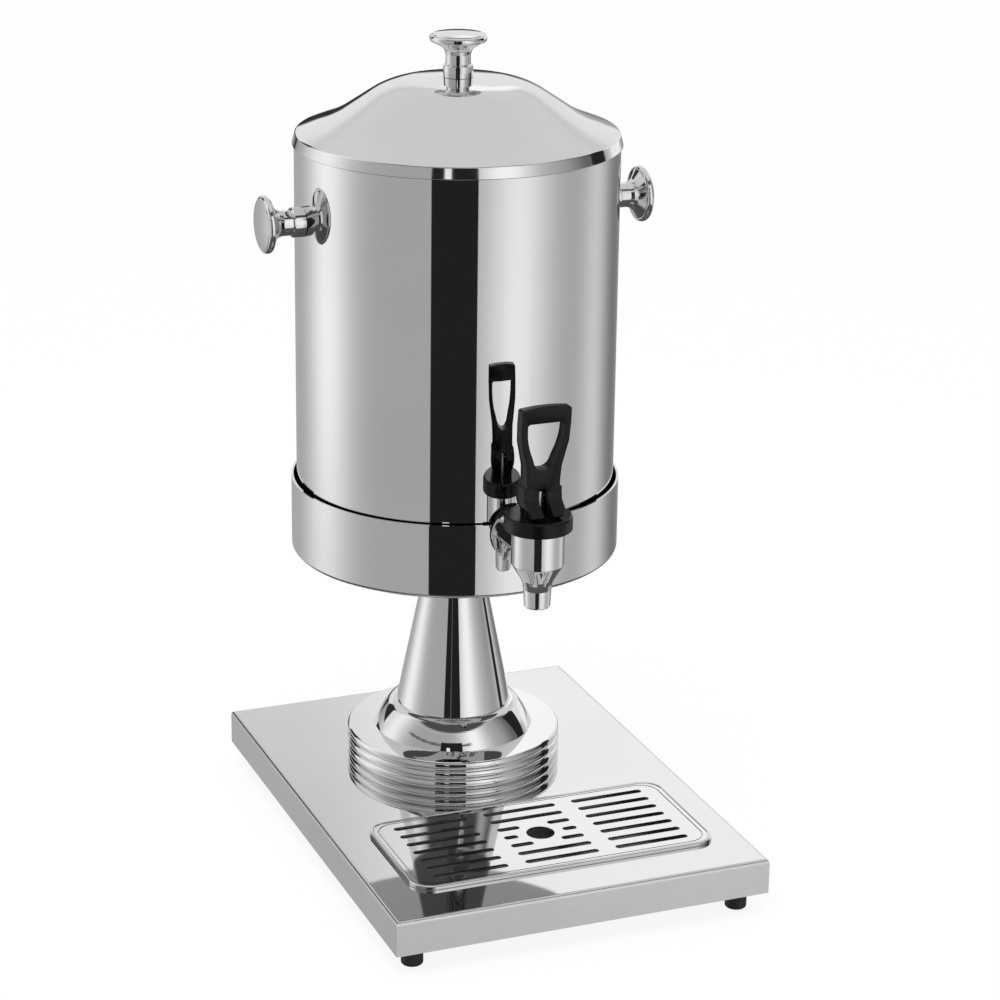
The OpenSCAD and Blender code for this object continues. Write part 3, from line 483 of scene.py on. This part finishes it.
def lathe(name, outline, place, steps):
    """Mesh turned round Z from a closed outline of radii and heights in millimetres."""
    turns = [2 * math.pi * i / steps for i in range(steps)]
    points, rings = [], []
    for radius, height in with_edge_loops(outline):
        if radius < 0.001:
            points.append((0, 0, height))
            rings.append([len(points) - 1] * steps)
        else:
            first = len(points)
            points += [(radius * math.cos(a), radius * math.sin(a), height) for a in turns]
            rings.append(list(range(first, first + steps)))
    faces = []
    for low, high in zip(rings, rings[1:] + rings[:1]):
        for i in range(steps):
            j = (i + 1) % steps
            corners = list(dict.fromkeys((low[i], low[j], high[j], high[i])))
            if len(corners) > 2:
                faces.append(corners)
    mesh = bpy.data.meshes.new(name)
    mesh.from_pydata(points, [], faces)
    mesh.transform(place @ Matrix.Scale(MM, 4))
    mesh.validate()
    return mesh


def joined(name, *meshes):
    """One mesh from several."""
    whole = bmesh.new()
    for mesh in meshes:
        whole.from_mesh(mesh)
    made = bpy.data.meshes.new(name)
    whole.to_mesh(made)
    whole.free()
    return made


def prism(name, outline, depth, across):
    """Solid with a flat outline of two coordinates, pushed out both ways along X or Y, in millimetres."""
    count = len(outline)
    points = []
    for shift in (-depth / 2, depth / 2):
        for level, height in outline:
            points.append((shift, level, height) if across == "X" else (level, shift, height))
    faces = [list(range(count)), list(range(2 * count - 1, count - 1, -1))]
    faces += [[i, i + count, (i + 1) % count + count, (i + 1) % count] for i in range(count)]
    mesh = bpy.data.meshes.new(name)
    mesh.from_pydata(points, [], faces)
    solid = bmesh.new()
    solid.from_mesh(mesh)
    bmesh.ops.recalc_face_normals(solid, faces=solid.faces)
    solid.to_mesh(mesh)
    solid.free()
    thing = bpy.data.objects.new(name, mesh)
    bpy.context.scene.collection.objects.link(thing)
    return thing


def cut(thing, tool, operation):
    change = thing.modifiers.new("cut", "BOOLEAN")
    change.operation = operation
    change.solver = "EXACT"
    change.object = tool


def lid_line(inset):
    """Section of the pressed lid from its lower edge to the hole under the knob."""
    rim_r, band, lean = 110.3, 7.1, 1.85
    hem, hole_r = 0.5, 2.6
    shoulder_r, hollow_r, knuckle_r, crown_r = 2.0, 86.0, 57.0, 320.0
    waist_in, knuckle_in = 18.1, 50.7
    low, steep = 21.5, 33.5
    tilt = math.atan2(lean, band - hem)
    shoulder_c = (rim_r - lean - shoulder_r * math.cos(tilt), band - shoulder_r * math.sin(tilt))
    shoulder = polar(shoulder_c, shoulder_r, low)
    waist_r = rim_r - waist_in
    waist = (waist_r, shoulder[1] + (shoulder[0] - waist_r) * math.tan(math.radians(low)))
    hollow_c = polar(waist, hollow_r, low)
    hollow = polar(hollow_c, -hollow_r, steep)
    bend_r = rim_r - knuckle_in
    knuckle = (bend_r, hollow[1] + (hollow[0] - bend_r) * math.tan(math.radians(steep)))
    knuckle_c = polar(knuckle, -knuckle_r, steep)
    crown_slope = math.degrees(math.asin(knuckle_c[0] / (crown_r - knuckle_r)))
    crown_z = polar(knuckle_c, knuckle_r, crown_slope)[1]
    crown_c = (0, crown_z - crown_r * math.cos(math.radians(crown_slope)))
    hole_slope = math.degrees(math.asin(hole_r / crown_r))

    def slopes(start, end, steps):
        return [start + (end - start) * i / steps for i in range(steps + 1)]

    line = arc((rim_r - hem - inset / 2, hem), hem - inset / 2, -90, 0, 4)
    line += arc(shoulder_c, shoulder_r - inset, math.degrees(tilt), 90 - low, 8)
    line += [polar(hollow_c, -hollow_r - inset, slope) for slope in slopes(low, steep, 12)]
    line += [polar(knuckle_c, knuckle_r - inset, slope) for slope in slopes(steep, crown_slope, 24)]
    line += [polar(crown_c, crown_r - inset, slope) for slope in slopes(crown_slope, hole_slope, 12)[1:]]
    return line


def lid():
    sheet = 0.8
    low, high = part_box("lid_shell")
    place = upright(0, middle(low, high, 1), low[2] / MM)
    outline = lid_line(0) + lid_line(sheet)[::-1]
    mesh = lathe("lid_pressed", outline, place, 256)
    put_in("lid_pressed", mesh, "lid_steel", "polished_steel", "lid", "lid_shell")


def knob_outline():
    """Turned knob: foot with a bevelled rim, waisted neck, and a crowned head with round edges."""
    foot_r, foot_h, bevel = 10.0, 8.0, 0.6
    neck_r, head_r, height = 8.4, 19.1, 29.6
    edge, crown = 2.2, 115.0
    head_z = height - 6.6
    rim_r = head_r - edge
    top_z = height - 1.6 - edge
    slope = math.degrees(math.asin(rim_r / crown))
    foot = [(0, 0), (foot_r, 0), (foot_r, foot_h - bevel), (foot_r - bevel, foot_h)]
    neck = [(neck_r, foot_h + bevel), (neck_r, head_z - 8.4), (neck_r + 0.2, head_z - 7.7),
            (neck_r + 0.8, head_z - 5.6), (neck_r + 2.2, head_z - 3.6)]
    head = arc((rim_r, head_z + edge), edge, -90, 0, 8) + arc((rim_r, top_z), edge, 0, 84, 8)
    return foot + neck + head + arc((0, height - crown), crown, 90 - slope, 90, 8)


def side_place(node, way):
    """Place of a knob that stands out to the left or right, with its foot where the node's foot is."""
    low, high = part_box(node)
    foot = low[0] if way > 0 else high[0]
    centre = Vector((foot, (low[1] + high[1]) / 2, (low[2] + high[2]) / 2))
    return Matrix.Translation(centre) @ Matrix.Rotation(way * math.pi / 2, 4, "Y")


def knobs():
    low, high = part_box("lid_knob")
    for name, node, body, place in (
        ("lid_knob_turned", "lid_knob", "lid", upright(0, middle(low, high, 1), low[2] / MM)),
        ("left_knob_turned", "handle_left", "urn", side_place("handle_left", -1)),
        ("right_knob_turned", "handle_right", "urn", side_place("handle_right", 1)),
    ):
        mesh = lathe(name, knob_outline(), place, 128)
        put_in(name, mesh, "turned_steel", "turned_steel", body, node)


def pedestal_dome():
    """Foot of the pedestal: a wide arc at the side, a small one at the shoulder, flat by the cone."""
    foot_r, height, cone_r = 55.4, 18.5, 40.3
    side_r, shoulder_r = 60.0, 7.0
    sheet, flat, lip_r, lip_h = 1, 0.3, 0.4, 1.2
    low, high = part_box("pedestal_foot")
    shoulder = (cone_r + flat, height - shoulder_r)
    centre = meeting_point((foot_r, 0), shoulder, side_r, side_r - shoulder_r)
    start = math.degrees(math.asin(-centre[1] / side_r))
    way = Vector(shoulder) - centre
    turn = math.degrees(math.atan2(way[1], way[0]))
    outline = arc(centre, side_r, start, turn, 16)
    outline += arc(shoulder, shoulder_r, turn, 90, 12)[1:]
    outline += [(cone_r - lip_r, height), (cone_r - lip_r, height - lip_h)]
    outline += arc(centre, side_r - sheet, turn, start, 8)
    place = upright(0, middle(low, high, 1), low[2] / MM)
    mesh = lathe("pedestal_dome", outline, place, 192)
    put_in("pedestal_dome", mesh, "polished_steel", "polished_steel", "stand", "pedestal_foot")


def round_corners(width, depth, corner):
    """Outline of a rectangle with round corners, its middle at the origin."""
    steps = 10
    x, y = width / 2 - corner, depth / 2 - corner
    return (arc((x, y), corner, 0, 90, steps) + arc((-x, y), corner, 90, 180, steps)
            + arc((-x, -y), corner, 180, 270, steps) + arc((x, -y), corner, 270, 360, steps))


def pan_bead():
    """Rolled edge round the drip pan: a round bar along its contour."""
    bar_r, bar_down, corner, rounds = 1.5, 0.9, 15, 12
    low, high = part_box("drip_pan")
    width, depth = (high[0] - low[0]) / MM, (high[1] - low[1]) / MM
    middle_z = high[2] / MM - bar_down
    points, faces = [], []
    for i in range(rounds):
        turn = 2 * math.pi * i / rounds
        inset = bar_r - bar_r * math.cos(turn)
        height = middle_z + bar_r * math.sin(turn)
        contour = round_corners(width - 2 * inset, depth - 2 * inset, corner - inset)
        points += [(x, y, height) for x, y in contour]
    count = len(points) // rounds
    for i in range(rounds):
        above_it = (i + 1) % rounds
        for j in range(count):
            k = (j + 1) % count
            faces.append((i * count + j, i * count + k, above_it * count + k, above_it * count + j))
    mesh = bpy.data.meshes.new("pan_bead")
    mesh.from_pydata(points, [], faces)
    place = upright(middle(low, high, 0), middle(low, high, 1), 0)
    mesh.transform(place @ Matrix.Scale(MM, 4))
    put_in("pan_bead", mesh, "polished_steel", "tray_steel", "pan")


def tap():
    """Tap body: nozzle, funnel and barrel turned in one, with the tube that goes through the urn."""
    barrel_r, barrel_top, neck_r, neck_top = 17.4, 53.8, 15.5, 58.3
    chamber_r, chamber_low, outlet_r, outlet_top = 12.5, 27, 6.5, 24
    tube_r, tube_bore, tube_bevel, tube_start = 10, 7, 0.8, 13
    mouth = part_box("tap_body")[0][2] / MM
    pin_low, pin_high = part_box("lever_pin")
    y = middle(pin_low, pin_high, 1)
    flange_low, flange_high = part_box("tap_flange")
    tube_z = middle(flange_low, flange_high, 2)
    tube_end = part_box("tap_body")[1][1] / MM
    nozzle = [(7.9, 0), (8.7, 1), (9.2, 12.3), (9.9, 16.5)]
    funnel = [(11, 19.3), (16.9, 29.1)]
    outside = [(barrel_r, 30.1), (barrel_r, barrel_top), (neck_r, barrel_top), (neck_r, neck_top)]
    inside = [(chamber_r, neck_top), (chamber_r, chamber_low), (outlet_r, outlet_top), (outlet_r, 0)]
    barrel = lathe("tap_barrel", nozzle + funnel + outside + inside, upright(0, y, mouth), 128)
    length = tube_end - y - tube_start
    lying = upright(0, y + tube_start, tube_z) @ Matrix.Rotation(-math.pi / 2, 4, "X")
    section = [(tube_bore, 0), (tube_r, 0), (tube_r, length - tube_bevel), (tube_r - tube_bevel, length),
               (tube_bore, length)]
    tube = lathe("tap_tube", section, lying, 96)
    put_in("tap_turned", joined("tap_turned", barrel, tube), "tap_chrome", "tap_chrome", "urn", "tap_body")


# The finger lever in millimetres, from the middle of its pin: height of the top, how much the top is
# crowned, radius of the hub, height of the pin above the bonnet, half width of the head, and how deep
# the solids are that shape it
LEVER_TOP = 62.9
LEVER_CROWN = 1.4
LEVER_HUB_R = 7.5
LEVER_PIN_UP = 12.5
LEVER_HALF = 17.0
LEVER_TOOL = 60


def rocking_foot(heel, per_radian):
    """Underside of the foot, which rolls on the bonnet and lifts the pin evenly with the turn."""
    degrees, steps = 35, 9
    line = []
    for i in range(steps, -1, -1):
        turn = math.radians(degrees * i / steps)
        reach = heel + per_radian * turn
        line.append((-reach * math.sin(turn) - per_radian * math.cos(turn),
                     -reach * math.cos(turn) + per_radian * math.sin(turn)))
    return line


def lever_from_the_side():
    """Outline in Y and Z: a thin blade that leans forward over the rocking foot."""
    lean, thick, corner = 8.0, 7.0, 1
    heel, per_radian, heel_end = LEVER_PIN_UP - 0.3, 9.0, 5
    front, back = -thick / 2 - lean, thick / 2 - lean
    blade = [(back, LEVER_TOP - corner), (back - corner, LEVER_TOP), (front + corner, LEVER_TOP),
             (front, LEVER_TOP - corner)]
    return (blade + arc((0, 0), LEVER_HUB_R, 155, 190, 7) + rocking_foot(heel, per_radian)
            + [(heel_end, -heel)] + arc((0, 0), LEVER_HUB_R, -40, 50, 12))


def lever_from_the_front():
    """Outline in X and Z: foot, wider hub, waist, and a wide head with round corners."""
    foot, hub, waist, corner = 10.8, 13, 11.5, 1.5
    right = [(foot, -LEVER_PIN_UP - 1), (foot, -LEVER_HUB_R - 1), (hub, -LEVER_HUB_R + 2),
             (hub, LEVER_HUB_R - 0.8), (waist, LEVER_HUB_R + 1), (waist, LEVER_HUB_R + 5),
             (12.1, LEVER_HUB_R + 14), (LEVER_HALF - 0.7, LEVER_TOP - 24), (LEVER_HALF, LEVER_TOP - 12)]
    right += arc((LEVER_HALF - corner, LEVER_TOP - LEVER_CROWN - corner), corner, 0, 90, 6)
    right += [(9, LEVER_TOP - 0.55), (4.5, LEVER_TOP - 0.12)]
    return right + [(-x, z) for x, z in reversed(right)]


def finger_hole():
    """Outline in X and Z: straight on top, with curved sides that meet in a round lower end."""
    top, height, width, corner = LEVER_TOP - 11.2, 32.6, 25.0, 1.2
    low_r, side_r, steps = 7.5, 47.0, 9
    low_z = top - height + low_r
    bend_z = top - 4
    edge = [(width / 2 - corner, top), (width / 2, top - corner)]
    for i in range(1, steps):
        z = bend_z + (low_z - bend_z) * i / steps
        edge.append((width / 2 - side_r + math.sqrt(side_r ** 2 - (z - bend_z) ** 2), z))
    edge += arc((0, low_z), low_r, -10, -90, 8)
    return edge + [(-x, z) for x, z in reversed(edge[:-1])]


def stem_slot():
    """Outline in X and Z of the slot in the foot, open below, with a round upper end."""
    slot_r, slot_z = 3.2, 3
    low = -LEVER_PIN_UP - 2
    return [(slot_r, low), (slot_r, slot_z)] + arc((0, slot_z), slot_r, 0, 180, 8)[1:] + [(-slot_r, low)]


def lever():
    """Finger lever: rocking foot, narrow waist, and a wide head with a finger hole and a crowned top."""
    body = prism("lever_moulded", lever_from_the_front(), LEVER_TOOL, "Y")
    cut(body, prism("lever_side", lever_from_the_side(), LEVER_TOOL, "X"), "INTERSECT")
    cut(body, prism("lever_hole", finger_hole(), LEVER_TOOL + 20, "Y"), "DIFFERENCE")
    cut(body, prism("lever_slot", stem_slot(), LEVER_TOOL + 20, "Y"), "DIFFERENCE")
    soft = body.modifiers.new("edges", "BEVEL")
    soft.width = 0.7
    soft.segments = 3
    soft.limit_method = "ANGLE"
    soft.angle_limit = math.radians(35)
    solid = bpy.data.meshes.new_from_object(body.evaluated_get(bpy.context.evaluated_depsgraph_get()))
    for name in ("lever_moulded", "lever_side", "lever_hole", "lever_slot"):
        bpy.data.objects.remove(bpy.data.objects[name])
    solid.name = "lever_moulded"
    pin_low, pin_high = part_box("lever_pin")
    pin = (Vector(pin_low) + Vector(pin_high)) / 2
    solid.transform(Matrix.Translation(pin) @ Matrix.Scale(MM, 4))
    put_in("lever_moulded", solid, "black_plastic", "black_plastic", "lever", "tap_lever")


studio()
floor()
lamp()
camera()
dress()
lid()
knobs()
pedestal_dome()
pan_bead()
tap()
lever()

bpy.context.scene.view_settings.view_transform = "Standard"
